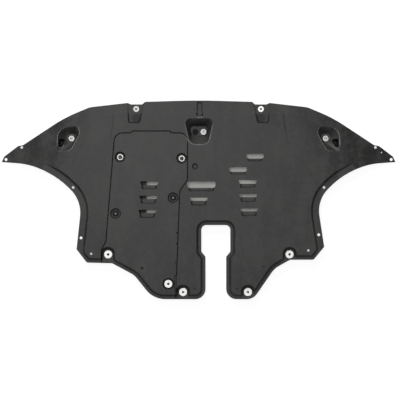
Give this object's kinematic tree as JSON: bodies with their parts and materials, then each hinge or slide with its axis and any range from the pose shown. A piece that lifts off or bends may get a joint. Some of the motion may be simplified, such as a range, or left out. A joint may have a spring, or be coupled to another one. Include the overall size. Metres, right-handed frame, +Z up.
{
  "type": "engine splash shield",
  "caption": "Wide moulded plastic splash shield for under a car engine, with a separate screwed-on service cover, an exhaust cut-out and metal bolt collars.",
  "frame": {"origin": "under the middle of the part's box, on the surface that it rests on", "axes": "+X across the car, towards the right of the picture; +Y to the front of the car, the top of the picture; +Z up, the shield's road-side normal as it lies"},
  "size_m": [1.4558, 0.7302, 0.0444],
  "materials": {
    "shield_plastic": "matte, fine mottled grain, dusty",
    "cover_plastic": "matte, fine mottled grain, dusty",
    "collar_steel": "bright zinc plating",
    "washer_steel": "bright zinc plating",
    "screw_steel": "zinc plating",
    "clip_plastic": "satin black"
  },
  "bodies": {
    "root": {"main_shield": "shield_plastic", "service_cover": "cover_plastic", "front_left_collar": "collar_steel", "front_right_collar": "collar_steel", "left_scoop_collar": "collar_steel", "right_scoop_collar": "collar_steel", "centre_pocket_collar": "collar_steel", "cover_collar": "collar_steel", "rear_left_collar": "collar_steel", "rear_right_collar": "collar_steel", "rear_centre_left_collar": "collar_steel", "rear_centre_right_collar": "collar_steel", "cover_washer_left": "washer_steel", "cover_screw_left": "screw_steel", "cover_nut_left": "screw_steel", "cover_clip_left": "clip_plastic", "cover_clip_pin_left": "clip_plastic", "cover_washer_right": "washer_steel", "cover_screw_right": "screw_steel", "cover_nut_right": "screw_steel", "cover_clip_right": "clip_plastic", "cover_clip_pin_right": "clip_plastic", "pocket_clip": "clip_plastic", "pocket_clip_pin": "clip_plastic"}
  },
  "joints": []
}
